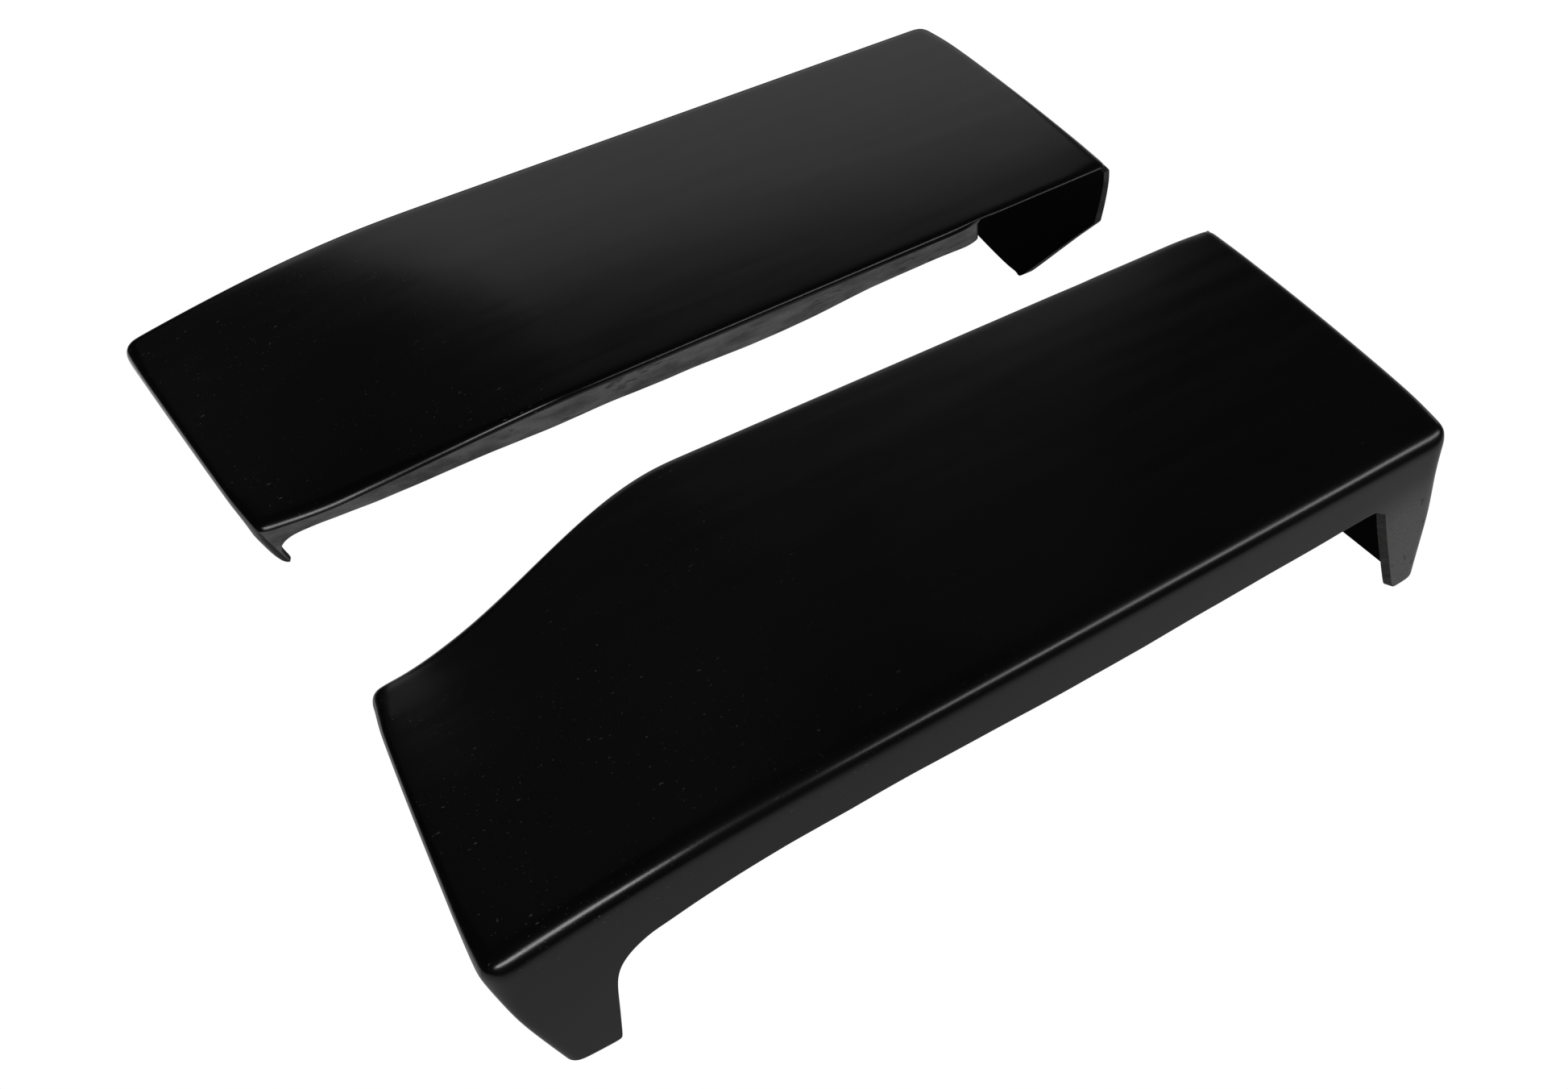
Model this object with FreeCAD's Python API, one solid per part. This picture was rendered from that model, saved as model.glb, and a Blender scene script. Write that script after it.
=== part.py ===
import FreeCAD
import Part
import math
import os

# Pair of moulded guard shells, lengths in millimetres.
# Each shell is drawn in its own frame: X runs along its length from the low end,
# Y runs from the tall open-arched wall (side A) to the shallow flanged wall (side B),
# and Z is up from the surface the shell rests on.

# ---- outline of the moulding -------------------------------------------------
LENGTH = 450.0
WIDTH_HIGH_END = 153.0
WIDTH_LOW_END = 157.5
SKIN = 3.5
EDGE_RADIUS = 5.0
CROWN = 2.0

# ---- side A: tall wall -------------------------------------------------------
A_HEIGHT_HIGH_END = 74.5
A_HEIGHT_LOW_END = 80.0
A_DROOP = 16.7
A_DROOP_START = 143.0
A_EDGE = 1.4
A_FLARE = math.tan(math.radians(13.0))

# ---- side B: shallow wall ----------------------------------------------------
B_HEIGHT_HIGH_END = 77.5
B_HEIGHT_LOW_END = 85.5
B_DROOP = 27.5
B_STEP_IN = 22.3
B_SWEEP_START = 160.0
B_SWEEP_END = 22.0
B_FLARE = math.tan(math.radians(10.0))

# ---- end walls: X at the top edge, lean-in at the foot, and how gently the lean starts
LOW_END_A = (0.5, 18.4, 14.0)
LOW_END_B = (12.4, 17.5, 10.0)
HIGH_END_A = (448.7, -8.7, 6.0)
HIGH_END_B = (451.2, -23.5, 60.0)
LEAN_TOP = 75.0
LOW_LEAN_TOP = 63.0
HIGH_FOOT_THICKER = 3.2

# ---- side A arch and its two legs ----------------------------------------------
ARCH_LEG_LOW = 38.0
ARCH_LEG_TOP_LOW = 43.2
ARCH_SHOULDER = 28.0
ARCH_TURN = (48.0, 37.5)
ARCH_CURVE = ((60.0, 44.2), (90.0, 49.4), (150.0, 52.1), (225.0, 49.7))
ARCH_RUN = 49.5
ARCH_LEG_TOP_HIGH = 413.5
ARCH_LEG_HIGH = 427.5
ARCH_NOTCH = 44.0

# ---- side B flange -------------------------------------------------------------
FLANGE_SETBACK = 1.2
FLANGE_LINE = 7.0
FLANGE_START = 26.0
FLANGE_END = 373.0
FLANGE_EDGE = ((36.0, 46.5), (66.0, 49.7), (112.0, 60.4), (150.0, 65.8),
               (205.0, 65.0), (255.0, 63.2), (310.0, 64.3))
FLANGE_EDGE_END_Z = 63.4
HOOK_FOOT = 38.0
HOOK_THROAT = (20.2, 37.2)
HOOK_TURN = (23.4, 43.6)

# ---- end wall lower edges, as (y, z) from the foot up to side B -----------------------
LOW_END_EDGE = ((95.0, 0.0), (131.0, 41.0), (134.5, 31.5))
HIGH_END_EDGE = ((132.0, 0.0), (158.0, 45.5))
PANEL_EDGE = 4.0

# ---- the pair --------------------------------------------------------------------
SIDE_A_OFFSET = 185.0
STAGGER = 4.5
MID_LENGTH = 226.19
BELOW = -8.0

STATIONS = (-25, 0, 22, 45, 70, 95, 120, 143, 160, 200, 240, 280, 320, 360, 400, 440, 480)


def vec(x, y, z):
    return FreeCAD.Vector(x, y, z)


def smooth(u):
    u = min(max(u, 0.0), 1.0)
    return u * u * (3.0 - 2.0 * u)


def sweep(x):
    """How far side B has swung into its low, narrow end: 0 to 1."""
    return smooth((B_SWEEP_START - x) / (B_SWEEP_START - B_SWEEP_END))


def top_a(x):
    droop = max((A_DROOP_START - x) / A_DROOP_START, 0.0)
    line = A_HEIGHT_LOW_END + (A_HEIGHT_HIGH_END - A_HEIGHT_LOW_END) * x / LENGTH
    return line - A_DROOP * droop * droop


def top_b(x):
    line = B_HEIGHT_LOW_END + (B_HEIGHT_HIGH_END - B_HEIGHT_LOW_END) * x / LENGTH
    return line - B_DROOP * sweep(x)


def edge_b(x):
    line = WIDTH_LOW_END + (WIDTH_HIGH_END - WIDTH_LOW_END) * x / LENGTH
    return line - B_STEP_IN * sweep(x)


def wall_a(x, z):
    return A_EDGE - (top_a(x) - z) * A_FLARE


def wall_b(x, z):
    return edge_b(x) + (top_b(x) - z) * B_FLARE


def section(x, inset, bottom):
    """Closed cross-section of the moulding, drawn in by inset on both sides and the top."""
    za = top_a(x) - inset
    zb = top_b(x) - inset
    ya = wall_a(x, za) + inset
    yb = wall_b(x, zb) - inset
    foot_a = vec(x, wall_a(x, bottom) + inset, bottom)
    foot_b = vec(x, wall_b(x, bottom) - inset, bottom)
    corner_a = vec(x, ya, za)
    corner_b = vec(x, yb, zb)
    crest = vec(x, (ya + yb) / 2.0, (za + zb) / 2.0 + CROWN)
    return Part.Wire([
        Part.makeLine(foot_a, corner_a),
        Part.Arc(corner_a, crest, corner_b).toShape(),
        Part.makeLine(corner_b, foot_b),
        Part.makeLine(foot_b, foot_a),
    ])


def loft(wires):
    return Part.makeLoft(wires, True, False)


def lean(wall, top, z):
    """X of one edge of an end wall at height z."""
    at_top, shift, ease = wall
    depth = max(top - z, 0.0)
    return at_top + shift * (math.hypot(depth, ease) - ease) / (math.hypot(top, ease) - ease)


def low_end_x(y, z):
    near = lean(LOW_END_A, LOW_LEAN_TOP, z)
    far = lean(LOW_END_B, LOW_LEAN_TOP, z)
    return near + (far - near) * y / (WIDTH_LOW_END - B_STEP_IN)


def high_end_x(y, z):
    near = lean(HIGH_END_A, LEAN_TOP, z)
    far = lean(HIGH_END_B, LEAN_TOP, z)
    return near + (far - near) * y / WIDTH_HIGH_END


def low_end_inside_x(y, z):
    return low_end_x(y, z) + SKIN


def high_end_inside_x(y, z):
    """The high end wall gets thicker towards its foot."""
    return high_end_x(y, z) - SKIN - HIGH_FOOT_THICKER * max(1.0 - z / LEAN_TOP, 0.0)


def end_cutter(end_x, far_x):
    """Block beyond an end wall, with its near face along that wall."""
    wires = []
    for z in range(-20, 121, 10):
        wires.append(Part.makePolygon([
            vec(end_x(-80.0, z), -80.0, z),
            vec(end_x(240.0, z), 240.0, z),
            vec(far_x, 240.0, z),
            vec(far_x, -80.0, z),
            vec(end_x(-80.0, z), -80.0, z),
        ]))
    return loft(wires)


def block(inset, bottom, low_x, high_x):
    body = loft([section(x, inset, bottom) for x in STATIONS])
    body = body.cut(end_cutter(low_x, -120.0))
    return body.cut(end_cutter(high_x, 600.0))


def prism(edges, direction):
    return Part.Face(Part.Wire(Part.__sortEdges__(edges))).extrude(direction)


def is_rounded(edge):
    """Top edges and upright corners are rounded, but not the trimmed edge of the high end wall."""
    middle = edge.BoundBox.Center
    on_floor = edge.BoundBox.ZMax < 1.0
    trimmed = edge.BoundBox.YLength < 40.0 and middle.x > 400.0 and middle.y > 100.0 and middle.z < 60.0
    return not on_floor and not trimmed


def rounded_block():
    body = block(0.0, BELOW, low_end_x, high_end_x)
    return body.makeFillet(EDGE_RADIUS, [edge for edge in body.Edges if is_rounded(edge)])


def arch_cutter():
    """Opening between the two side A legs."""
    y = -60.0
    leg_foot = vec(ARCH_LEG_LOW, y, BELOW)
    leg_top = vec(ARCH_LEG_TOP_LOW, y, ARCH_SHOULDER)
    turn = vec(ARCH_TURN[0], y, ARCH_TURN[1])
    crown = [vec(x, y, z) for x, z in ARCH_CURVE]
    notch = vec(ARCH_LEG_TOP_HIGH - 8.0, y, ARCH_RUN)
    curve = Part.BSplineCurve()
    curve.interpolate(crown)
    edges = [
        Part.makeLine(leg_foot, leg_top),
        Part.Arc(leg_top, turn, crown[0]).toShape(),
        curve.toShape(),
        Part.makeLine(crown[-1], notch),
        Part.makeLine(notch, vec(ARCH_LEG_TOP_HIGH, y, ARCH_NOTCH)),
        Part.makeLine(vec(ARCH_LEG_TOP_HIGH, y, ARCH_NOTCH), vec(ARCH_LEG_HIGH, y, BELOW)),
        Part.makeLine(vec(ARCH_LEG_HIGH, y, BELOW), leg_foot),
    ]
    return prism(edges, vec(0.0, 100.0, 0.0))


def flange_cutter():
    """Everything below the trimmed edge of the side B flange."""
    y = 126.0
    end = vec(FLANGE_END, y, FLANGE_EDGE_END_Z)
    lip = [vec(x, y, z) for x, z in FLANGE_EDGE] + [end]
    curve = Part.BSplineCurve()
    curve.interpolate(lip)
    turn = vec(HOOK_TURN[0], y, HOOK_TURN[1])
    throat = vec(HOOK_THROAT[0], y, HOOK_THROAT[1])
    edges = [
        Part.makeLine(vec(HOOK_FOOT, y, BELOW), throat),
        Part.Arc(throat, turn, lip[0]).toShape(),
        curve.toShape(),
        Part.makeLine(end, vec(FLANGE_END, y, BELOW)),
        Part.makeLine(vec(FLANGE_END, y, BELOW), vec(HOOK_FOOT, y, BELOW)),
    ]
    return prism(edges, vec(0.0, 100.0, 0.0))


def open_corner_cutter():
    """The gap in side B beside the high end wall."""
    high = LENGTH - SKIN
    wire = Part.makePolygon([
        vec(FLANGE_END, 0.0, BELOW),
        vec(FLANGE_END, 0.0, top_b(FLANGE_END) - PANEL_EDGE),
        vec(high, 0.0, top_b(high) - PANEL_EDGE),
        vec(high_end_x(WIDTH_HIGH_END, BELOW) - SKIN, 0.0, BELOW),
        vec(FLANGE_END, 0.0, BELOW),
    ])
    gap = Part.Face(wire).extrude(vec(0.0, 60.0, 0.0))
    gap.translate(vec(0.0, WIDTH_HIGH_END - 4.0 * SKIN, 0.0))
    return gap


def end_trim(outline, x_from, x_to):
    """Cut below the trimmed lower edge of an end wall, given as (y, z) points."""
    points = [vec(x_from, outline[0][0], BELOW)]
    points += [vec(x_from, y, z) for y, z in outline]
    points += [vec(x_from, 240.0, outline[-1][1]), vec(x_from, 240.0, BELOW), points[0]]
    return Part.Face(Part.makePolygon(points)).extrude(vec(x_to - x_from, 0.0, 0.0))


def setback_cutter():
    """Thin layer taken off the outside of side B below the flange line."""
    wires = []
    for x in STATIONS:
        line = top_b(x) - FLANGE_LINE
        wires.append(Part.makePolygon([
            vec(x, wall_b(x, line) - FLANGE_SETBACK, line),
            vec(x, wall_b(x, line) + 25.0, line),
            vec(x, wall_b(x, BELOW) + 25.0, BELOW),
            vec(x, wall_b(x, BELOW) - FLANGE_SETBACK, BELOW),
            vec(x, wall_b(x, line) - FLANGE_SETBACK, line),
        ]))
    reach = Part.makeBox(FLANGE_END - FLANGE_START, 240.0, 120.0, vec(FLANGE_START, 0.0, BELOW))
    return loft(wires).common(reach)


def below_rest():
    """Everything under the surface the shell rests on, so that its feet are flat."""
    return Part.makeBox(LENGTH + 200.0, WIDTH_LOW_END + 200.0, 40.0, vec(-100.0, -100.0, -40.0))


def guard():
    shell = rounded_block().cut(block(SKIN, 2.0 * BELOW, low_end_inside_x, high_end_inside_x))
    shell = shell.cut(below_rest())
    shell = shell.cut(arch_cutter())
    shell = shell.cut(flange_cutter())
    shell = shell.cut(open_corner_cutter())
    shell = shell.cut(end_trim(HIGH_END_EDGE, 400.0, 500.0))
    shell = shell.cut(end_trim(LOW_END_EDGE, -40.0, 60.0))
    shell = shell.cut(setback_cutter())
    return max(shell.Solids, key=lambda solid: solid.Volume)


os.makedirs("parts", exist_ok=True)

right_guard = guard()
left_guard = right_guard.mirror(vec(0.0, 0.0, 0.0), vec(0.0, 1.0, 0.0))
right_guard.translate(vec(STAGGER - MID_LENGTH, -SIDE_A_OFFSET, 0.0))
left_guard.translate(vec(-STAGGER - MID_LENGTH, SIDE_A_OFFSET, 0.0))

right_guard.exportStep("parts/right_hand_guard.step")
left_guard.exportStep("parts/left_hand_guard.step")
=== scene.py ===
import math
from typing import Callable, NamedTuple

import bpy
import numpy as np
from mathutils import Euler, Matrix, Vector


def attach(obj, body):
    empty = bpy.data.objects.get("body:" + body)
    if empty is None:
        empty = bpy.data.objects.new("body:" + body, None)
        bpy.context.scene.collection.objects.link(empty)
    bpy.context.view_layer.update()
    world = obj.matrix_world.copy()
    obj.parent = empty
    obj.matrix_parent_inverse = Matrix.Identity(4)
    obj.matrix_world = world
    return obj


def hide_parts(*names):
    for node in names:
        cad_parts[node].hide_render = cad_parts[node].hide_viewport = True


# Moulded guard shells, one left and one right, built as thick sheets with trimmed edges.
# Shell dimensions are in millimetres, in each shell's own frame: X along its length from the
# low end, Y from the tall arched wall (side A) to the flanged wall (side B), Z up. Materials,
# floor, lights and camera are in metres, in the frame of the pair.

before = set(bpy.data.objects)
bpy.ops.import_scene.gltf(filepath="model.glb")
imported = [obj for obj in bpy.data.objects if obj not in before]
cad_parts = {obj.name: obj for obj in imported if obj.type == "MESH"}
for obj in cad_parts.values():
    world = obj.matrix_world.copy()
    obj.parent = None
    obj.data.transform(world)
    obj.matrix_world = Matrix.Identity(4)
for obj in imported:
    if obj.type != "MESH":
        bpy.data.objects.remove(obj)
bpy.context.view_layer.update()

# ---- the moulding ------------------------------------------------------------------------------
LENGTH = 450.0
WIDTH_HIGH_END = 153.8
WIDTH_LOW_END = 158.6
SKIN = 3.4
CROWN = 2.0

# Rounding of the outer edges. A pair gives the low end's value, then the high end's. The corner
# between side A and an end is tight at its foot and widens above CORNER_GROWS_FROM. A corner's
# radius gives way to its edges' own over CORNER_REACH.
RADIUS_A = 9.0
RADIUS_B = (7.0, 3.0)
RADIUS_LOW_END = 4.5
RADIUS_HIGH_END = 5.5
CORNER_A = (9.0, 9.0)
CORNER_B = (7.0, 6.0)
CORNER_FOOT = 3.0
CORNER_GROWS_FROM = 28.0
CORNER_GROWS_OVER = 32.0
CORNER_REACH = 26.0

# Side A, the arched wall, and side B, the flanged wall: top edges and how far the walls flare.
A_HEIGHT_HIGH_END = 74.5
A_HEIGHT_LOW_END = 80.0
A_DROOP = 16.4
A_DROOP_START = 136.0
A_STEP_IN = 1.6
A_STEP_REACH = 150.0
A_FLARE = math.tan(math.radians(13.0))
B_HEIGHT_HIGH_END = 75.6
B_HEIGHT_LOW_END = 82.8
B_DROOP = 28.0
B_STEP_IN = 20.6
B_SWEEP_START = 160.0
B_SWEEP_END = 22.0
B_TAIL_REACH = 52.0
B_TAIL_IN = 3.2
B_TAIL_UP = 2.0
B_FLARE = math.tan(math.radians(10.0))

# End walls where they meet sides A and B: x at the top, lean by the foot, and the depth over
# which the lean sets in. The lean is measured down from LOW_LEAN_TOP at the low end and from
# LEAN_TOP at the high end, whose wall is thicker at its foot.
LOW_END_A = (-0.5, 19.2, 14.0)
LOW_END_B = (11.7, 17.5, 10.0)
HIGH_END_A = (451.0, -12.4, 6.0)
HIGH_END_B = (453.0, -24.5, 60.0)
LEAN_TOP = 75.0
LOW_LEAN_TOP = 63.0
HIGH_FOOT_THICKER = 3.2

# ---- trimmed edges, as (x, z) along the sides and (share of width, y, z) across the ends ----
# None stands for the side wall's own y. FOOT_LIFT raises the foot of side A's two corners, column
# by column from the corner. The long edges waver a little, and the flange has one drip.
LOW_LEG = ((36.8, 0.0), (38.1, 0.5), (38.6, 1.9), (39.2, 6.0), (40.1, 12.0), (41.1, 19.0), (42.1, 26.5),
           (43.1, 31.4), (44.7, 35.6), (47.3, 39.0), (51.0, 42.0), (55.3, 44.2), (60.0, 46.0))
ARCH_CURVE = ((60.0, 46.0), (90.0, 51.1), (150.0, 53.7), (225.0, 51.3), (405.5, 51.4))
HIGH_LEG = ((405.5, 51.4), (408.6, 50.8), (411.2, 48.0), (413.4, 48.4), (414.3, 43.5), (416.7, 33.4),
            (419.2, 24.0), (421.6, 15.0), (423.9, 6.5), (425.4, 1.6), (426.2, 0.2), (427.6, 0.0))
HOOK = ((22.9, 32.4), (21.5, 35.4), (20.4, 38.2), (20.7, 40.8), (22.7, 43.3), (26.3, 45.3), (31.0, 46.2),
        (36.0, 46.8))
FLANGE_CURVE = ((36.0, 46.8), (66.0, 50.5), (112.0, 60.6), (150.0, 65.5), (205.0, 64.5), (255.0, 62.6),
                (310.0, 64.6), (373.0, 63.6))
HOOK_TIP_Z = 33.2
LOW_END_PATH = ((0.0, None, 0.0), (0.6, 92.0, 0.0), (0.63, 95.0, 0.6), (0.66, 97.5, 3.0),
                (0.955, 130.5, 39.6), (0.97, 132.6, 38.6), (1.0, None, HOOK_TIP_Z))
HIGH_END_PATH = ((0.0, None, 0.0), (0.8, 122.0, 0.0), (0.845, 128.6, 1.3), (0.86, 131.6, 0.2),
                 (0.875, 133.6, 2.2), (0.955, 150.0, 31.0), (1.0, None, 45.5))
FOOT_LIFT = (1.6, 0.6, 0.1, 0.0)
WOBBLE_A = 0.3
WOBBLE_B = 0.35
DRIP_X = 368.5
DRIP_WIDTH = 2.6
DRIP_DEPTH = 1.5

# The flange is set back below the crease, its far end curls in, and its hook thins to the tip.
# Past its far end the wall is only a stub under the crease.
FLANGE_LINE_ROW = 4
FLANGE_SETBACK = 1.2
FLANGE_FADE_COLUMNS = 2.0
FLANGE_CURL = (0.5, 1.9)
FLANGE_CURL_ROWS = 3.0
FLANGE_STUB = 12.0
HOOK_THINNER = 1.1
HOOK_THIN_ROWS = 5.0
HOOK_TIP_COLUMN = 2
HOOK_SHARE = 0.95

# The high leg's cut face slants, most at the foot, and less near the arch and the corner.
LEG_BEVEL = 2.3
BEVEL_EASE_IN = 3.0
BEVEL_EASE_OUT = 2.0

# ---- the pair: each guard's distance from the middle line, and its shift along it ---------------
SIDE_A_OFFSET = 185.0
STAGGER = 4.5
MID_LENGTH = 226.19
MM = 0.001

# ---- mesh spacing -------------------------------------------------------------------------------
# Columns run along the guard from the low end, rows run down each wall from its top edge.
CORNERS_A = (0.0, 3.0, 6.0, 9.4)
CORNERS_B = (0.0, 1.2, 2.6, 5.0)
CORNER = len(CORNERS_A) - 1
TOP_ROWS_A = (0.0, 3.2, 6.4, 9.6, 12.6)
TOP_ROWS_B = (0.0, 1.1, 2.4, 3.5, 3.9)
WALL_ROWS = 5
RIM_LOOP = 0.65
RUN_COLUMNS = 40
FINE_SPACING = 4.6
FINE_COLUMNS = 11
FINE_FADE = 7.0
RUN_SPACING = 8.6
CROSS_COLUMNS = 11
CROSS_EXTRA = (0.63, 0.845, 0.86, 0.875, 0.955)
FLANGE_END_BACK = 15
EDGE_LOOPS = (0.0, 0.17, 0.83, 1.0)

ROWS = len(TOP_ROWS_A) + WALL_ROWS + 1
COLUMNS = 2 * CORNER + len(LOW_LEG) + RUN_COLUMNS + len(HIGH_LEG)
FLANGE_END_COLUMN = COLUMNS - CORNER - FLANGE_END_BACK
HIGH_LEG_COLUMN = COLUMNS - CORNER - len(HIGH_LEG)

# ---- how closely the points are worked out ---------------------------------------------------------
SETTLE_ROUNDS = 8
SLOPE_STEP = 0.05
LEAST_DISTANCE = 0.01
LEAST_DEPTH = 1e-6
LEAST_PULL = -1e-9


def smooth(u):
    """Smooth step from 0 to 1 as u goes from 0 to 1."""
    u = min(max(u, 0.0), 1.0)
    return u * u * (3.0 - 2.0 * u)


def wobble(s, seed):
    """Slow irregular wave of about unit height, for hand-trimmed edges."""
    return (0.5 * math.sin(s / 17.0 + 1.7 * seed) + 0.3 * math.sin(s / 7.3 + 4.1 * seed)
            + 0.2 * math.sin(s / 3.1 + 2.3 * seed))


def along(points, x):
    """Height of a smooth line through (x, z) points."""
    xs = [p[0] for p in points]
    zs = [p[1] for p in points]
    i = min(max(int(np.searchsorted(xs, x)) - 1, 0), len(xs) - 2)
    slopes = np.gradient(zs, xs)
    h = xs[i + 1] - xs[i]
    u = (x - xs[i]) / h
    return ((2 * u ** 3 - 3 * u ** 2 + 1) * zs[i] + (u ** 3 - 2 * u ** 2 + u) * h * slopes[i]
            + (3 * u ** 2 - 2 * u ** 3) * zs[i + 1] + (u ** 3 - u ** 2) * h * slopes[i + 1])


# ---- surfaces of the moulding --------------------------------------------------------------------
def sweep(x):
    """How far side B has swept in and down towards the low end: 0 to 1."""
    return smooth((B_SWEEP_START - x) / (B_SWEEP_START - B_SWEEP_END))


def top_a(x):
    """Height of side A's top edge."""
    droop = max((A_DROOP_START - x) / A_DROOP_START, 0.0)
    return A_HEIGHT_LOW_END + (A_HEIGHT_HIGH_END - A_HEIGHT_LOW_END) * x / LENGTH - A_DROOP * droop * droop


def tail(x):
    """How far side B has turned in at its very low end: 0 to 1."""
    return smooth(1.0 - x / B_TAIL_REACH)


def top_b(x):
    """Height of side B's top edge, which drops into the sweep."""
    line = B_HEIGHT_LOW_END + (B_HEIGHT_HIGH_END - B_HEIGHT_LOW_END) * x / LENGTH
    return line - B_DROOP * sweep(x) + B_TAIL_UP * tail(x)


def edge_b(x):
    """Side B's top edge, seen from above."""
    line = WIDTH_LOW_END + (WIDTH_HIGH_END - WIDTH_LOW_END) * x / LENGTH
    return line - B_STEP_IN * sweep(x) - B_TAIL_IN * tail(x)


def edge_a(x):
    """Side A's top edge, seen from above: it turns in a little towards its low end."""
    return A_STEP_IN * smooth(1.0 - x / A_STEP_REACH)


def top_z(x, y):
    """Height of the top panel, which is slightly crowned."""
    t = (y - edge_a(x)) / (edge_b(x) - edge_a(x))
    return top_a(x) + (top_b(x) - top_a(x)) * t + 4.0 * CROWN * t * (1.0 - t)


def wall_a(x, z):
    """Y of side A's wall, which flares out downwards."""
    return edge_a(x) - (top_a(x) - z) * A_FLARE


def wall_b(x, z):
    """Y of side B's wall, which flares out downwards."""
    return edge_b(x) + (top_b(x) - z) * B_FLARE


def lean(wall, top, z):
    """X of an end wall at one side: it leans by its full shift from its top to the floor."""
    at_top, shift, ease = wall
    depth = max(top - z, 0.0)
    return at_top + shift * (math.hypot(depth, ease) - ease) / (math.hypot(top, ease) - ease)


def end_wall_x(at_a, at_b, top, width, y, z):
    """X of an end wall, straight across between its two sides."""
    near = lean(at_a, top, z)
    far = lean(at_b, top, z)
    return near + (far - near) * y / width


def low_end_x(y, z):
    return end_wall_x(LOW_END_A, LOW_END_B, LOW_LEAN_TOP, WIDTH_LOW_END - B_STEP_IN, y, z)


def high_end_x(y, z):
    return end_wall_x(HIGH_END_A, HIGH_END_B, LEAN_TOP, WIDTH_HIGH_END, y, z)


# How far a point lies outside each surface.
SURFACES = {
    "top": lambda p: p[2] - top_z(p[0], p[1]),
    "a": lambda p: wall_a(p[0], p[2]) - p[1],
    "b": lambda p: p[1] - wall_b(p[0], p[2]),
    "low": lambda p: low_end_x(p[1], p[2]) - p[0],
    "high": lambda p: p[0] - high_end_x(p[1], p[2]),
}


def edge_radius(point):
    """Radius of the rounding near a point, from its nearest edges and their corner."""
    x, y, z = point
    low = x < LENGTH / 2.0
    from_end = max(x - low_end_x(y, z) if low else high_end_x(y, z) - x, LEAST_DISTANCE)
    from_a = max(y - wall_a(x, z), LEAST_DISTANCE)
    from_b = max(wall_b(x, z) - y, LEAST_DISTANCE)
    from_side = min(from_a, from_b)
    end = RADIUS_LOW_END if low else RADIUS_HIGH_END
    which_end = 0 if low else 1
    if from_a < from_b:
        side = RADIUS_A
        grown = smooth((z - CORNER_GROWS_FROM) / CORNER_GROWS_OVER)
        corner = CORNER_FOOT + (CORNER_A[which_end] - CORNER_FOOT) * grown
    else:
        side = RADIUS_B[1] + (RADIUS_B[0] - RADIUS_B[1]) * sweep(x)
        corner = CORNER_B[which_end]
    side += (corner - side) * smooth(1.0 - from_end / CORNER_REACH)
    end += (corner - end) * smooth(1.0 - from_side / CORNER_REACH)
    return (side * from_end + end * from_side) / (from_end + from_side)


def tangent_plane(surface, point):
    """Outward unit normal of a surface near a point, and the point's height over it."""
    value = surface(point)
    slope = np.array([(surface(point + SLOPE_STEP * axis) - value) / SLOPE_STEP for axis in np.eye(3)])
    size = np.linalg.norm(slope)
    return slope / size, value / size


def rounded(point, names):
    """A point of the sharp-edged block moved onto its rounded surface, and the normal there."""
    radius = edge_radius(point)
    planes = [tangent_plane(SURFACES[name], point) for name in names]
    planes = [(n, d + radius) for n, d in planes if d + radius > LEAST_DEPTH]
    while True:
        normals = np.array([n for n, _ in planes])
        depths = np.array([d for _, d in planes])
        pull = np.linalg.solve(normals @ normals.T, depths)
        if pull.min() > LEAST_PULL:
            break
        planes = [plane for plane, p in zip(planes, pull) if p > LEAST_PULL]
    offset = normals.T @ pull
    normal = offset / np.linalg.norm(offset)
    return point - offset + radius * normal, normal


# ---- columns and rows of the cage ---------------------------------------------------------------------
def rows(length, share):
    """Distances down a wall from the top edge to its trimmed edge, at a share of the width from side A."""
    top = [a + (b - a) * share for a, b in zip(TOP_ROWS_A, TOP_ROWS_B)]
    start = top[-1]
    end = length - RIM_LOOP
    spread = [start + (end - start) * k / (WALL_ROWS + 1) for k in range(1, WALL_ROWS + 1)]
    return top + spread + [end, length]


def cross_shares():
    """Shares of the width at which the columns cross the top and the end walls."""
    low = [step / WIDTH_HIGH_END for step in CORNERS_A]
    high = [1.0 - step / WIDTH_HIGH_END for step in CORNERS_B]
    inner = [low[-1] + (high[-1] - low[-1]) * j / (CROSS_COLUMNS + 1) for j in range(1, CROSS_COLUMNS + 1)]
    return sorted([*low, *inner, *CROSS_EXTRA, *high])


SHARES = cross_shares()
ACROSS = len(SHARES) - 1


def crease_line(low, high, steps, pinned):
    """X of each column along a top edge: fine near the ends, and one column pinned if asked."""
    weights = []
    for i in range(CORNER, COLUMNS - CORNER):
        near_end = min(i - CORNER, COLUMNS - CORNER - 1 - i)
        run = smooth((near_end - FINE_COLUMNS) / FINE_FADE)
        weights.append(FINE_SPACING + (RUN_SPACING - FINE_SPACING) * run)
    total = np.concatenate([[0.0], np.cumsum(weights)])
    start = low + steps[-1]
    end = high - steps[-1]
    line = start + (end - start) * total / total[-1]
    if pinned:
        column, x = pinned
        k = column - CORNER
        line = np.concatenate([
            start + (x - start) * total[:k] / total[k],
            x + (end - x) * (total[k:] - total[k]) / (total[-1] - total[k]),
        ])
    return [low + s for s in steps[:-1]] + list(line) + [high - s for s in reversed(steps[:-1])]


def meet(end_x, y_at, z):
    """X and Y where an end wall and a side wall meet, at height z."""
    x = end_x(0.0, z)
    for _ in range(SETTLE_ROUNDS):
        y = y_at(x, z)
        x = end_x(y, z)
    return x, y


def end_top(end_x, share):
    """X of an end wall's top edge at a share of the width."""
    x = end_x(0.0, LEAN_TOP)
    for _ in range(SETTLE_ROUNDS):
        y = edge_a(x) + share * (edge_b(x) - edge_a(x))
        x = end_x(y, top_z(x, y))
    return x


class Side(NamedTuple):
    """One side wall, with the columns at each end that follow the end wall's slant."""
    wall: Callable
    top: Callable
    share: float
    low_foot: float
    high_foot: float
    foot_lift: tuple
    slanted: int


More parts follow.
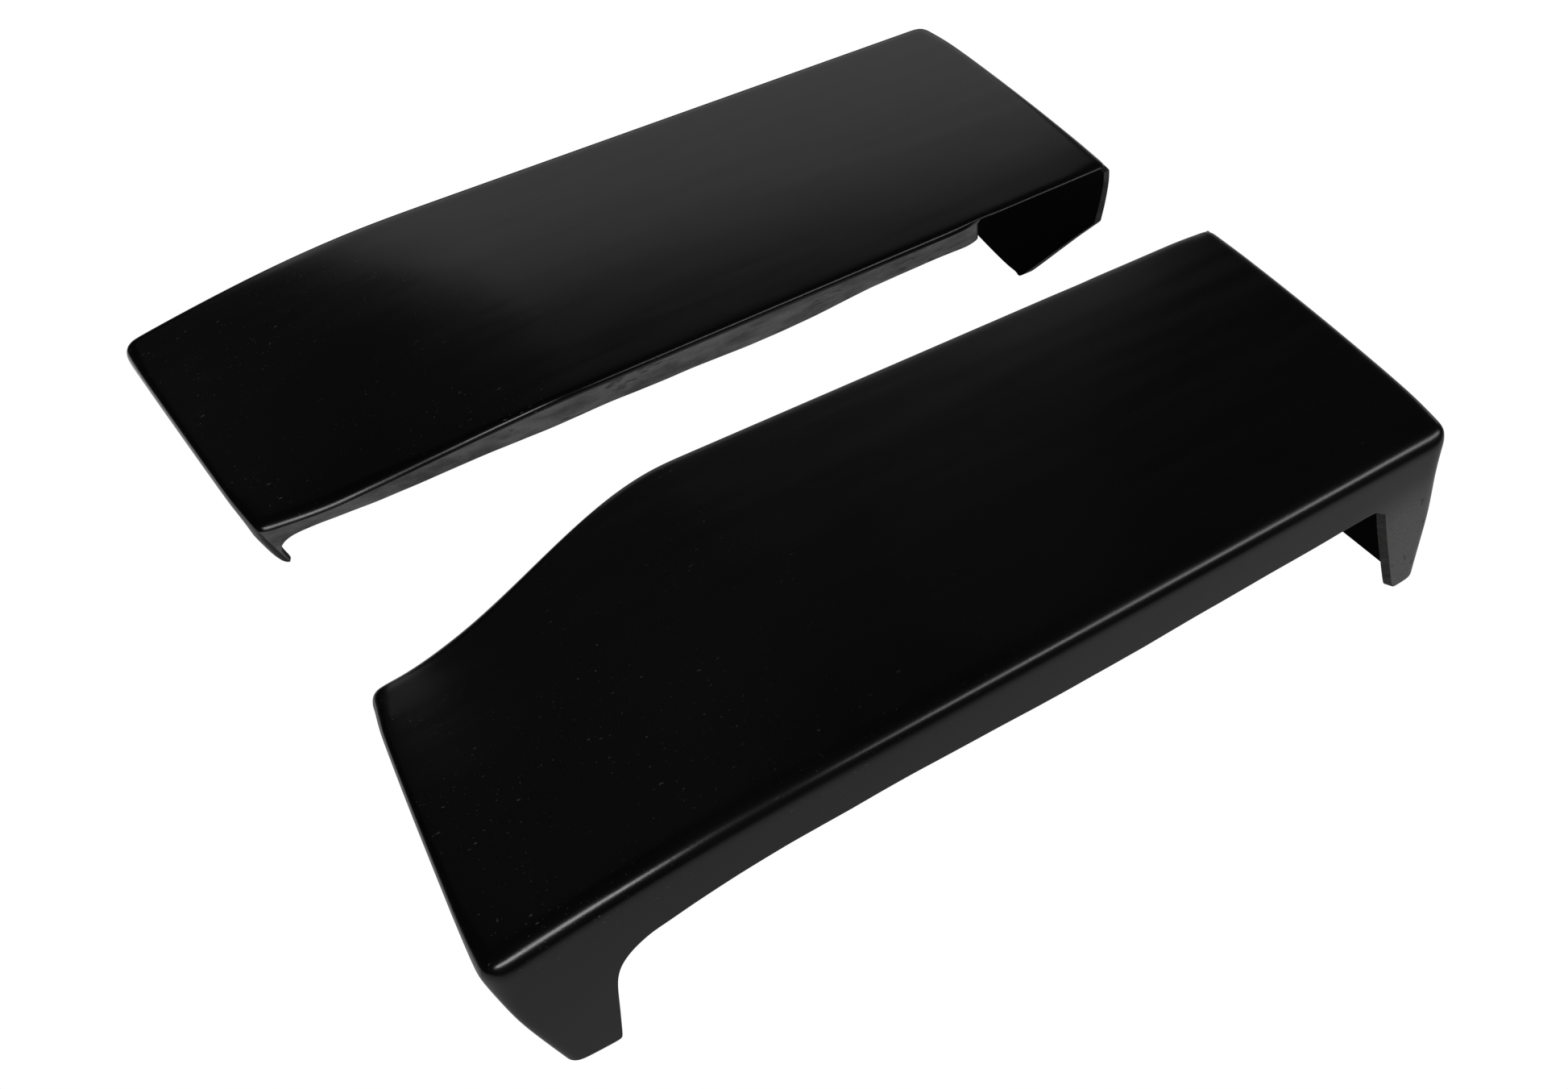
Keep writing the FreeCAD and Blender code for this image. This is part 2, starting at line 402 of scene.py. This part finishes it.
SIDES = {
    "a": Side(wall_a, top_a, 0.0, 0.0, 0.0, FOOT_LIFT, CORNER),
    "b": Side(wall_b, top_b, 1.0, HOOK_TIP_Z, HIGH_END_PATH[-1][2], (0.0,), 0),
}


def hook_thinning(patch, a, row):
    """How much thinner the sheet is than SKIN at a place on or near the hook."""
    if patch == "b":
        at_hook = 1.0 - smooth((a - HOOK_TIP_COLUMN) / (len(HOOK) - 1.0))
    elif patch == "low" and SHARES[a] > HOOK_SHARE:
        at_hook = 1.0
    else:
        at_hook = 0.0
    return HOOK_THINNER * min(row / HOOK_THIN_ROWS, 1.0) * at_hook


def leg_bevel(a, row):
    """Slant of the high leg's cut face, eased out towards the arch and the corner."""
    past_arch = smooth((a - HIGH_LEG_COLUMN - 1) / BEVEL_EASE_IN)
    near_corner = smooth((a - (COLUMNS - CORNER - BEVEL_EASE_OUT)) / BEVEL_EASE_OUT)
    return LEG_BEVEL * (past_arch * (1.0 - near_corner)) * (row / ROWS) ** 2


class Shell:
    """One guard's cage. A place on it is a key: ("top", column, cross column), ("a" or "b", column,
    row) on a side wall, or ("low" or "high", cross column, row) on an end wall."""

    def __init__(self, seed):
        self.seed = seed
        self.low_a = end_top(low_end_x, 0.0)
        self.low_b = end_top(low_end_x, 1.0)
        self.high_a = end_top(high_end_x, 0.0)
        self.high_b = end_top(high_end_x, 1.0)
        self.crease_a = crease_line(self.low_a, self.high_a, CORNERS_A, None)
        flange_end = (FLANGE_END_COLUMN, FLANGE_CURVE[-1][0])
        self.crease_b = crease_line(self.low_b, self.high_b, CORNERS_B, flange_end)
        self.crease = {"a": self.crease_a, "b": self.crease_b}
        self.trim = {"a": self.side_a_trim(), "b": self.side_b_trim()}

    def side_a_trim(self):
        """Place of each column's foot on side A: the low leg, the arch and the high leg."""
        first = CORNER + len(LOW_LEG)
        trim = {CORNER + 1 + i: point for i, point in enumerate(LOW_LEG)}
        x_from, x_to = LOW_LEG[-1][0], HIGH_LEG[0][0]
        c_from, c_to = self.crease_a[first], self.crease_a[HIGH_LEG_COLUMN]
        for i in range(first + 1, HIGH_LEG_COLUMN):
            x = x_from + (x_to - x_from) * (self.crease_a[i] - c_from) / (c_to - c_from)
            trim[i] = (x, along(ARCH_CURVE, x) + WOBBLE_A * wobble(x, self.seed))
        for i, point in enumerate(HIGH_LEG):
            trim[HIGH_LEG_COLUMN + i] = point
        return trim

    def side_b_trim(self):
        """Place of each column's foot on side B: the hook, then the flange with its drip."""
        trim = {1 + i: point for i, point in enumerate(HOOK)}
        first = len(HOOK)
        x_from, x_to = HOOK[-1][0], FLANGE_CURVE[-1][0]
        c_from, c_to = self.crease_b[first], self.crease_b[FLANGE_END_COLUMN]
        for i in range(first + 1, FLANGE_END_COLUMN + 1):
            x = x_from + (x_to - x_from) * (self.crease_b[i] - c_from) / (c_to - c_from)
            drip = DRIP_DEPTH * math.exp(-((x - DRIP_X) / DRIP_WIDTH) ** 2)
            trim[i] = (x, along(FLANGE_CURVE, x) + WOBBLE_B * wobble(x, self.seed + 2) - drip)
        return trim

    def top_point(self, i, j):
        """Point of the top panel at column i and cross column j."""
        share = SHARES[j]
        low = end_top(low_end_x, share)
        high = end_top(high_end_x, share)
        at_a = (self.crease_a[i] - self.low_a) / (self.high_a - self.low_a)
        at_b = (self.crease_b[i] - self.low_b) / (self.high_b - self.low_b)
        x = low + (high - low) * (at_a + (at_b - at_a) * share)
        y = edge_a(x) + share * (edge_b(x) - edge_a(x))
        return np.array([x, y, top_z(x, y)])

    def side_point(self, name, i, k):
        """Point k rows down column i of a side wall, on the sharp-edged block."""
        side = SIDES[name]
        crease = self.crease[name][i]
        top = side.top(crease)
        if i <= side.slanted:
            foot = side.low_foot + side.foot_lift[i]
            z = top - rows(top - foot, side.share)[k]
            x = meet(low_end_x, side.wall, z)[0] + CORNERS_A[i]
        elif i >= COLUMNS - side.slanted:
            foot = side.high_foot + side.foot_lift[COLUMNS - i]
            z = top - rows(top - foot, side.share)[k]
            x = meet(high_end_x, side.wall, z)[0] - CORNERS_A[COLUMNS - i]
        else:
            foot_x, foot_z = self.trim[name].get(i, (crease, top - FLANGE_STUB))
            length = math.hypot(foot_x - crease, top - foot_z)
            w = rows(length, side.share)[k] / length
            x = crease + (foot_x - crease) * w
            z = top + (foot_z - top) * w
        return np.array([x, side.wall(x, z), z])

    def end_point(self, end, j, k):
        """Point k rows down column j of an end wall, on the sharp-edged block."""
        end_x = low_end_x if end == "low" else high_end_x
        path = LOW_END_PATH if end == "low" else HIGH_END_PATH
        top = self.top_point(0 if end == "low" else COLUMNS, j)
        knots = [list(p) for p in path]
        knots[0][1] = meet(end_x, wall_a, knots[0][2])[1]
        knots[-1][1] = meet(end_x, wall_b, knots[-1][2])[1]
        share = SHARES[j]
        foot_y = float(np.interp(share, [p[0] for p in knots], [p[1] for p in knots]))
        foot_z = float(np.interp(share, [p[0] for p in knots], [p[2] for p in knots]))
        foot_z += FOOT_LIFT[min(j, len(FOOT_LIFT) - 1)]
        length = math.hypot(foot_y - top[1], top[2] - foot_z)
        w = rows(length, share)[k] / length
        y = top[1] + (foot_y - top[1]) * w
        z = top[2] + (foot_z - top[2]) * w
        return np.array([end_x(y, z), y, z])

    def sheet_point(self, key):
        """Outer and inner points of the sheet for one place on the cage."""
        patch, a, b = key
        if patch == "top":
            point = self.top_point(a, b)
            row = 0
        elif patch in SIDES:
            point = self.side_point(patch, a, b)
            row = b
        else:
            point = self.end_point(patch, a, b)
            row = b
        names = list(SURFACES)
        on_high_end = patch == "high" or (patch == "b" and a == COLUMNS)
        if on_high_end and row > 1:
            names.remove("b")  # side B's wall is cut away here, so the end wall runs on to its edge
        outer, normal = rounded(point, names)
        direction = self.through_sheet(normal, row)
        if patch == "b" and row >= FLANGE_LINE_ROW and a < COLUMNS:
            outer = outer - FLANGE_SETBACK * min(a / FLANGE_FADE_COLUMNS, 1.0) * direction
        if patch == "b" and a in (FLANGE_END_COLUMN - 1, FLANGE_END_COLUMN):
            curl = FLANGE_CURL[a - FLANGE_END_COLUMN + 1]
            outer = outer - np.array([0.0, curl * min(row / FLANGE_CURL_ROWS, 1.0), 0.0])
        thickness = SKIN - hook_thinning(patch, a, row)
        inner = outer - direction * thickness / float(direction @ normal)
        if patch == "high" or (patch in SIDES and a >= COLUMNS - CORNER):
            inner[0] -= HIGH_FOOT_THICKER * max(1.0 - point[2] / LEAN_TOP, 0.0)
        if patch == "a":
            inner[0] -= leg_bevel(a, row)
        return outer, inner

    @staticmethod
    def through_sheet(normal, row):
        """Direction through the sheet: the normal at the top edge, level from the third row down."""
        flat = min(max((row - 1) / 2.0, 0.0), 1.0)
        if flat == 0.0:
            return normal
        level = np.array([normal[0], normal[1], 0.0])
        direction = normal * (1.0 - flat) + flat * level / np.linalg.norm(level)
        return direction / np.linalg.norm(direction)

    def key(self, patch, a, b):
        """One name for each place, wherever two patches share it."""
        if patch == "top":
            return ("top", a, b)
        if b == 0:
            return {"a": ("top", a, 0), "b": ("top", a, ACROSS), "low": ("top", 0, a),
                    "high": ("top", COLUMNS, a)}[patch]
        if patch == "low" and a in (0, ACROSS):
            return ("a" if a == 0 else "b", 0, b)
        if patch == "high" and a in (0, ACROSS):
            return ("a" if a == 0 else "b", COLUMNS, b)
        return (patch, a, b)

    def quads(self):
        """Four keys and a material name for each face of the outer side."""
        for i in range(COLUMNS):
            for j in range(ACROSS):
                yield [("top", i, j), ("top", i + 1, j), ("top", i + 1, j + 1), ("top", i, j + 1)], "gelcoat"
        for side in SIDES:
            for i in range(COLUMNS):
                for k in range(ROWS):
                    if side == "b" and i >= FLANGE_END_COLUMN and k >= 1:
                        continue
                    face = [(side, i, k), (side, i, k + 1), (side, i + 1, k + 1), (side, i + 1, k)]
                    if side == "b":
                        face.reverse()
                    dull = side == "b" and k >= FLANGE_LINE_ROW - 1 and i >= 1
                    yield [self.key(*c) for c in face], "flange" if dull else "gelcoat"
        for end in ("low", "high"):
            for j in range(ACROSS):
                for k in range(ROWS):
                    face = [(end, j, k), (end, j + 1, k), (end, j + 1, k + 1), (end, j, k + 1)]
                    if end == "high":
                        face.reverse()
                    yield [self.key(*c) for c in face], "gelcoat"


MATERIAL_ORDER = ("gelcoat", "flange", "trimmed", "laminate")


def place(point, hand):
    """Point of the pair, in metres: hand is 1 for the right guard, -1 for its mirror image."""
    x, y, z = point
    return ((x + hand * STAGGER - MID_LENGTH) * MM, hand * (y - SIDE_A_OFFSET) * MM, z * MM)


def build_mesh(name, seed, hand):
    """Outer side, inner side and the trimmed edge between them, as one closed mesh."""
    shell = Shell(seed)
    points = {}
    vertices = []
    index = {}
    faces = []
    slots = []
    edge_use = {}

    def vertex(key, share):
        """Vertex of the sheet: share 0 on the outer side, 1 on the inner side."""
        if key not in points:
            points[key] = shell.sheet_point(key)
        if (key, share) not in index:
            outer, inner = points[key]
            index[(key, share)] = len(vertices)
            vertices.append(place(outer + (inner - outer) * share, hand))
        return index[(key, share)]

    for corners, material in shell.quads():
        faces.append([vertex(c, 0.0) for c in corners])
        slots.append(MATERIAL_ORDER.index(material))
        faces.append([vertex(c, 1.0) for c in reversed(corners)])
        slots.append(MATERIAL_ORDER.index("laminate"))
        for c, d in zip(corners, corners[1:] + corners[:1]):
            edge_use[frozenset((c, d))] = None if frozenset((c, d)) in edge_use else (c, d)
    for c, d in filter(None, edge_use.values()):
        for s, t in zip(EDGE_LOOPS, EDGE_LOOPS[1:]):
            faces.append([vertex(d, s), vertex(c, s), vertex(c, t), vertex(d, t)])
            slots.append(MATERIAL_ORDER.index("trimmed"))
    if hand < 0:
        faces = [list(reversed(face)) for face in faces]
    mesh = bpy.data.meshes.new(name)
    mesh.from_pydata(vertices, [], faces)
    for polygon, slot in zip(mesh.polygons, slots):
        polygon.material_index = slot
        polygon.use_smooth = True
    mesh.update()
    return mesh


# ---- materials -------------------------------------------------------------------------------------
# Where marks start and where they are full, along an axis of the pair, in metres.
DUST_X = (0.0, -0.15)
DUST_Z = (0.05, 0.056)
# Lighter high leg: real scuffs plus a painted reflection of the floor, strongest at the foot.
SCUFF_SHEEN_LEG_X = (0.165, 0.205)
SCUFF_SHEEN_LEG_Y = (0.187, 0.191)
SCUFF_SHEEN_LEG_Z = (0.064, 0.035)
# Painted shade on the trimmed edges of side B, below its top, near the middle line of the pair.
EDGE_SHADE_Y = (0.1, 0.06)
EDGE_SHADE_Z = (0.071, 0.062)

GELCOAT_DEEP = (0.0025, 0.0025, 0.0027)
GELCOAT_WORN = (0.0052, 0.0052, 0.0054)
# Colour of the high leg's scuffs and of the painted floor reflection on it.
SCUFF_AND_FLOOR_SHEEN = (0.1, 0.1, 0.098)
CHIP = (0.004, 0.004, 0.004)
DUST = (0.24, 0.24, 0.23)
FLANGE_DARK = (0.052, 0.052, 0.053)
FLANGE_PALE = (0.165, 0.165, 0.164)
FLANGE_MARK = (0.015, 0.015, 0.015)
CUT_DARK = (0.012, 0.012, 0.012)
CUT_PALE = (0.055, 0.055, 0.053)
CUT_RESIN = (0.075, 0.075, 0.072)
# Colour of the painted shade on side B's trimmed edges.
EDGE_SHADE = (0.004, 0.004, 0.004)
LAMINATE_DARK = (0.0006, 0.0006, 0.0006)
LAMINATE_PALE = (0.0016, 0.0016, 0.0016)


class Nodes:
    """Short calls for building one material's node tree."""

    def __init__(self, name):
        self.material = bpy.data.materials.new(name)
        self.material.use_nodes = True
        self.tree = self.material.node_tree
        self.shader = self.tree.nodes["Principled BSDF"]
        self.place = self.add("ShaderNodeTexCoord").outputs["Object"]

    def add(self, kind, **settings):
        node = self.tree.nodes.new(kind)
        for key, value in settings.items():
            setattr(node, key, value)
        return node

    def link(self, source, target):
        self.tree.links.new(source, target)

    def axes(self):
        """Object coordinates in metres, as X, Y and Z."""
        node = self.add("ShaderNodeSeparateXYZ")
        self.link(self.place, node.inputs["Vector"])
        return node.outputs["X"], node.outputs["Y"], node.outputs["Z"]

    def stretched(self, scale, turn=0.0):
        """Object coordinates scaled along each axis and turned about Z."""
        node = self.add("ShaderNodeMapping")
        node.inputs["Scale"].default_value = scale
        node.inputs["Rotation"].default_value = (0.0, 0.0, turn)
        self.link(self.place, node.inputs["Vector"])
        return node.outputs["Vector"]

    def noise(self, vector, scale, detail=3.0, roughness=0.55):
        node = self.add("ShaderNodeTexNoise")
        node.inputs["Scale"].default_value = scale
        node.inputs["Detail"].default_value = detail
        node.inputs["Roughness"].default_value = roughness
        self.link(vector, node.inputs["Vector"])
        return node.outputs["Fac"]

    def ramp(self, value, low, high, to_low=0.0, to_high=1.0):
        """Smooth change from one value to another as the input goes from low to high."""
        node = self.add("ShaderNodeMapRange")
        node.interpolation_type = "SMOOTHSTEP"
        node.inputs["From Min"].default_value = low
        node.inputs["From Max"].default_value = high
        node.inputs["To Min"].default_value = to_low
        node.inputs["To Max"].default_value = to_high
        self.link(value, node.inputs["Value"])
        return node.outputs["Result"]

    def math(self, operation, first, second):
        node = self.add("ShaderNodeMath", operation=operation)
        for socket, value in zip(node.inputs, (first, second)):
            if isinstance(value, (int, float)):
                socket.default_value = value
            else:
                self.link(value, socket)
        return node.outputs["Value"]

    def product(self, first, *others):
        """One value times all the others."""
        for factor in others:
            first = self.math("MULTIPLY", first, factor)
        return first

    def away(self, axis):
        """Distance from the middle of the pair along one axis."""
        return self.math("ABSOLUTE", axis, 0.0)

    def mix(self, factor, first, second):
        """Blend of two colours, each a colour or another mix."""
        node = self.add("ShaderNodeMix", data_type="RGBA")
        self.link(factor, node.inputs["Factor"])
        for socket, value in ((node.inputs["A"], first), (node.inputs["B"], second)):
            if isinstance(value, tuple):
                socket.default_value = (*value, 1.0)
            else:
                self.link(value, socket)
        return node.outputs["Result"]

    def bump(self, heights):
        """Stacked bumps, each a height, a strength and a depth in metres."""
        last = None
        for height, strength, distance in heights:
            node = self.add("ShaderNodeBump")
            node.inputs["Strength"].default_value = strength
            node.inputs["Distance"].default_value = distance
            self.link(height, node.inputs["Height"])
            if last is not None:
                self.link(last, node.inputs["Normal"])
            last = node.outputs["Normal"]
        self.link(last, self.shader.inputs["Normal"])

    def finish(self, color, roughness, specular):
        """Join the looks to the shader; gives the finished material."""
        self.link(color, self.shader.inputs["Base Color"])
        self.link(roughness, self.shader.inputs["Roughness"])
        self.shader.inputs["Specular IOR Level"].default_value = specular
        return self.material


def gelcoat():
    """Satin black gelcoat: faint polishing streaks, dust on top at the low ends, and on the high leg scuffs
    with a painted floor reflection that brightens towards its foot.
    """
    n = Nodes("black_gelcoat")
    streaks = n.noise(n.stretched((9.0, 130.0, 130.0), 0.04), 1.0, 4.0)
    cloud = n.noise(n.place, 7.0, 3.0)
    grain = n.noise(n.place, 1100.0, 2.0)
    x, y, z = n.axes()
    near_low_end = n.ramp(x, *DUST_X, 0.1, 1.0)
    clusters = n.product(n.ramp(n.noise(n.place, 24.0, 3.0), 0.42, 0.6, 0.15, 1.0), near_low_end)
    flecks = n.ramp(n.noise(n.stretched((330.0, 560.0, 450.0), 0.3), 1.0, 3.0), 0.7, 0.75)
    motes = n.ramp(n.noise(n.place, 900.0, 1.0), 0.73, 0.78, 0.0, 0.6)
    hairs = n.ramp(n.noise(n.stretched((160.0, 620.0, 400.0), 0.7), 1.0, 2.0), 0.735, 0.765)
    dust = n.math("MAXIMUM", n.math("MAXIMUM", flecks, motes), hairs)
    dust = n.product(dust, clusters, n.ramp(z, *DUST_Z))
    base = n.mix(n.ramp(cloud, 0.35, 0.65), GELCOAT_DEEP, GELCOAT_WORN)
    # Painted reflection of the floor on the high leg, growing towards its foot, mixed with real scuffs.
    leg = n.product(n.ramp(x, *SCUFF_SHEEN_LEG_X), n.ramp(n.away(y), *SCUFF_SHEEN_LEG_Y), n.ramp(z, *SCUFF_SHEEN_LEG_Z))
    scuffs_and_sheen = n.product(leg, n.ramp(n.noise(n.place, 1500.0, 2.0), 0.3, 0.7, 0.6, 1.0))
    chips = n.product(leg, n.ramp(n.noise(n.stretched((300.0, 300.0, 170.0)), 1.0, 3.0), 0.65, 0.68))
    base = n.mix(scuffs_and_sheen, base, SCUFF_AND_FLOOR_SHEEN)
    base = n.mix(chips, base, CHIP)
    base = n.mix(n.product(dust, 0.5), base, DUST)
    rough = n.ramp(streaks, 0.3, 0.7, 0.19, 0.25)
    rough = n.math("ADD", rough, n.product(dust, 0.3))
    n.bump([
        (n.noise(n.place, 24.0, 1.0), 0.2, 0.0005),
        (streaks, 0.06, 0.00006),
        (grain, 0.3, 0.00005),
    ])
    return n.finish(base, rough, 0.5)


def flange():
    """Dull grey flange, worn and smudged, with a few dark marks."""
    n = Nodes("dull_flange")
    smudge = n.noise(n.stretched((30.0, 110.0, 110.0), 0.0), 1.0, 6.0, 0.68)
    marks = n.ramp(n.noise(n.stretched((38.0, 190.0, 190.0), 0.0), 1.0, 4.0, 0.65), 0.6, 0.66)
    grain = n.noise(n.place, 1400.0, 2.0)
    base = n.mix(n.ramp(smudge, 0.3, 0.7), FLANGE_DARK, FLANGE_PALE)
    base = n.mix(n.product(marks, 0.7), base, FLANGE_MARK)
    rough = n.ramp(smudge, 0.3, 0.7, 0.62, 0.5)
    n.bump([(smudge, 0.2, 0.0004), (grain, 0.25, 0.00005)])
    return n.finish(base, rough, 0.4)


def trimmed():
    """Sawn laminate edge: grey, rough, with the ends of the fibres, and painted shade on side B's edges
    below its top, near the middle of the pair.
    """
    n = Nodes("trimmed_edge")
    fibres = n.noise(n.stretched((500.0, 500.0, 1500.0), 0.0), 1.0, 4.0, 0.7)
    cloud = n.noise(n.place, 120.0, 3.0)
    base = n.mix(n.ramp(fibres, 0.35, 0.7), CUT_DARK, CUT_PALE)
    base = n.mix(n.product(n.ramp(cloud, 0.5, 0.75), 0.6), base, CUT_RESIN)
    _, y, z = n.axes()
    # Painted shade: side B's trimmed edges darken below its top.
    edge_shade = n.product(n.ramp(n.away(y), *EDGE_SHADE_Y), n.ramp(z, *EDGE_SHADE_Z, 0.0, 0.75))
    base = n.mix(edge_shade, base, EDGE_SHADE)
    rough = n.ramp(cloud, 0.3, 0.7, 0.6, 0.8)
    n.bump([(cloud, 0.5, 0.0004), (fibres, 0.6, 0.0002)])
    return n.finish(base, rough, 0.35)


def laminate():
    """Rough black inside face, with the glass mat showing through the resin."""
    n = Nodes("black_laminate")
    cloud = n.noise(n.place, 18.0, 3.0)
    mat = n.add("ShaderNodeTexVoronoi", feature="DISTANCE_TO_EDGE")
    mat.inputs["Scale"].default_value = 260.0
    n.link(n.stretched((1.0, 0.35, 1.0), 0.6), mat.inputs["Vector"])
    strands = n.noise(n.stretched((90.0, 700.0, 700.0), 0.8), 1.0, 3.0, 0.6)
    cross = n.noise(n.stretched((700.0, 90.0, 700.0), 0.5), 1.0, 3.0, 0.6)
    base = n.mix(n.ramp(cloud, 0.35, 0.7), LAMINATE_DARK, LAMINATE_PALE)
    rough = n.ramp(cloud, 0.3, 0.7, 0.42, 0.6)
    n.bump([
        (cloud, 0.5, 0.0015),
        (mat.outputs["Distance"], 0.15, 0.0004),
        (strands, 0.35, 0.0003),
        (cross, 0.35, 0.0003),
    ])
    return n.finish(base, rough, 0.03)


MATERIALS = [gelcoat(), flange(), trimmed(), laminate()]


# ---- the two guards ---------------------------------------------------------------------------------
def add_guard(name, node, seed, hand):
    """One shell, which rides on its CAD node and takes its place."""
    piece = bpy.data.objects.new(name, build_mesh(name, seed, hand))
    bpy.context.scene.collection.objects.link(piece)
    for material in MATERIALS:
        piece.data.materials.append(material)
    curve = piece.modifiers.new("smooth", "SUBSURF")
    curve.levels = 2
    curve.render_levels = 2
    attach(piece, node)
    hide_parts(node)


add_guard("right_hand_shell", "right_hand_guard", 1.0, 1)
add_guard("left_hand_shell", "left_hand_guard", 2.0, -1)


# ---- stage, light and camera ---------------------------------------------------------------------------
# The camera sees the floor as plain white. Its light on the guards comes from a patch within
# LIT_FLOOR of the middle, with a brighter ring beyond the guards' ends and behind them.
WHITE = (1.0, 1.0, 1.0, 1.0)
BLACK = (0.0, 0.0, 0.0, 1.0)
FLOOR_HALF = 4.0
FLOOR_DROP = 0.0005
LIT_FLOOR = (0.42, 0.26)
LIT_FLOOR_FADE = 0.2
LIT_FLOOR_LEVEL = 0.36
RING_LEVEL = 0.42
RING_START = (0.245, 0.206)
RING_FRONT = -0.15
RING_FADE = 0.025
DARK_FLOOR_LEVEL = 0.012
WORLD_GREY = (0.019, 0.019, 0.02, 1.0)

# The camera's place and near limit are in metres, its turn in degrees, lens and sensor in millimetres.
CAMERA_PLACE = (-0.2465, -0.4152, 0.5424)
CAMERA_TURN = (39.48, 0.34, -32.22)
CAMERA_LENS = 35.29
CAMERA_NEAR = 0.01
SENSOR_WIDTH = 36.0


def floor_white():
    """Black floor that glows: plain white to the camera, a lit patch and ring to everything else."""
    n = Nodes("floor_white")
    x, y, _ = n.axes()
    beyond_ends = n.product(
        n.ramp(n.away(x), RING_START[0], RING_START[0] + RING_FADE),
        n.ramp(y, RING_FRONT - RING_FADE, RING_FRONT),
    )
    ring = n.math("MAXIMUM", beyond_ends, n.ramp(y, RING_START[1], RING_START[1] + RING_FADE))
    lit = n.math("ADD", n.product(ring, RING_LEVEL), LIT_FLOOR_LEVEL)
    for axis, reach in zip((x, y), LIT_FLOOR):
        lit = n.product(n.ramp(n.away(axis), reach, reach + LIT_FLOOR_FADE, 1.0, 0.0), lit)
    lit = n.math("ADD", lit, DARK_FLOOR_LEVEL)
    seen = n.add("ShaderNodeLightPath").outputs["Is Camera Ray"]
    n.link(n.math("MAXIMUM", lit, seen), n.shader.inputs["Emission Strength"])
    n.shader.inputs["Emission Color"].default_value = WHITE
    n.shader.inputs["Base Color"].default_value = BLACK
    n.shader.inputs["Roughness"].default_value = 0.9
    n.shader.inputs["Specular IOR Level"].default_value = 0.0
    return n.material


def add_floor():
    """White ground under the guards."""
    half = FLOOR_HALF
    mesh = bpy.data.meshes.new("floor")
    mesh.from_pydata([(-half, -half, 0.0), (half, -half, 0.0), (half, half, 0.0), (-half, half, 0.0)],
                     [], [(0, 1, 2, 3)])
    piece = bpy.data.objects.new("floor", mesh)
    bpy.context.scene.collection.objects.link(piece)
    piece.location.z = -FLOOR_DROP
    mesh.materials.append(floor_white())


def add_world():
    """World that is white to the camera and nearly black to everything else."""
    world = bpy.data.worlds.new("studio")
    bpy.context.scene.world = world
    world.use_nodes = True
    tree = world.node_tree
    dim = tree.nodes["Background"]
    dim.inputs["Color"].default_value = WORLD_GREY
    seen = tree.nodes.new("ShaderNodeBackground")
    seen.inputs["Color"].default_value = WHITE
    choice = tree.nodes.new("ShaderNodeMixShader")
    path = tree.nodes.new("ShaderNodeLightPath")
    tree.links.new(path.outputs["Is Camera Ray"], choice.inputs["Fac"])
    tree.links.new(dim.outputs["Background"], choice.inputs[1])
    tree.links.new(seen.outputs["Background"], choice.inputs[2])
    tree.links.new(choice.outputs["Shader"], tree.nodes["World Output"].inputs["Surface"])


def soft_light(name, position, aim, size, radiance):
    """Rectangular softbox whose face has the given brightness."""
    data = bpy.data.lights.new(name, "AREA")
    data.shape = "RECTANGLE"
    data.size, data.size_y = size
    data.energy = radiance * math.pi * size[0] * size[1]
    light = bpy.data.objects.new(name, data)
    bpy.context.scene.collection.objects.link(light)
    light.location = position
    light.rotation_euler = (Vector(aim) - Vector(position)).to_track_quat("-Z", "Y").to_euler()


def add_camera():
    data = bpy.data.cameras.new("camera")
    data.sensor_width = SENSOR_WIDTH
    data.lens = CAMERA_LENS
    data.clip_start = CAMERA_NEAR
    camera = bpy.data.objects.new("camera", data)
    bpy.context.scene.collection.objects.link(camera)
    camera.location = CAMERA_PLACE
    camera.rotation_euler = Euler([math.radians(angle) for angle in CAMERA_TURN])
    bpy.context.scene.camera = camera
    bpy.context.scene.view_settings.view_transform = "Standard"


add_floor()
add_world()
add_camera()

# Name, place, point aimed at, size and radiance of each light.
soft_light("front_left", (-0.5, -1.2, 0.76), (-0.2, -0.15, 0.05), (0.7, 0.26), 9.0)
soft_light("front_right", (1.05, -1.2, 0.76), (0.1, -0.15, 0.05), (1.4, 0.26), 4.3)
soft_light("back_panel", (0.7, 1.65, 0.68), (0.1, 0.1, 0.1), (1.8, 1.3), 0.49)
soft_light("back_right", (2.5, 1.5, 0.68), (0.1, 0.0, 0.1), (1.5, 1.3), 0.09)
soft_light("side_panel", (2.4, 1.0, 0.2), (0.2, 0.1, 0.08), (1.8, 0.36), 0.8)
soft_light("high_panel", (0.3, 2.0, 2.3), (0.0, 0.0, 0.1), (3.6, 2.2), 0.036)
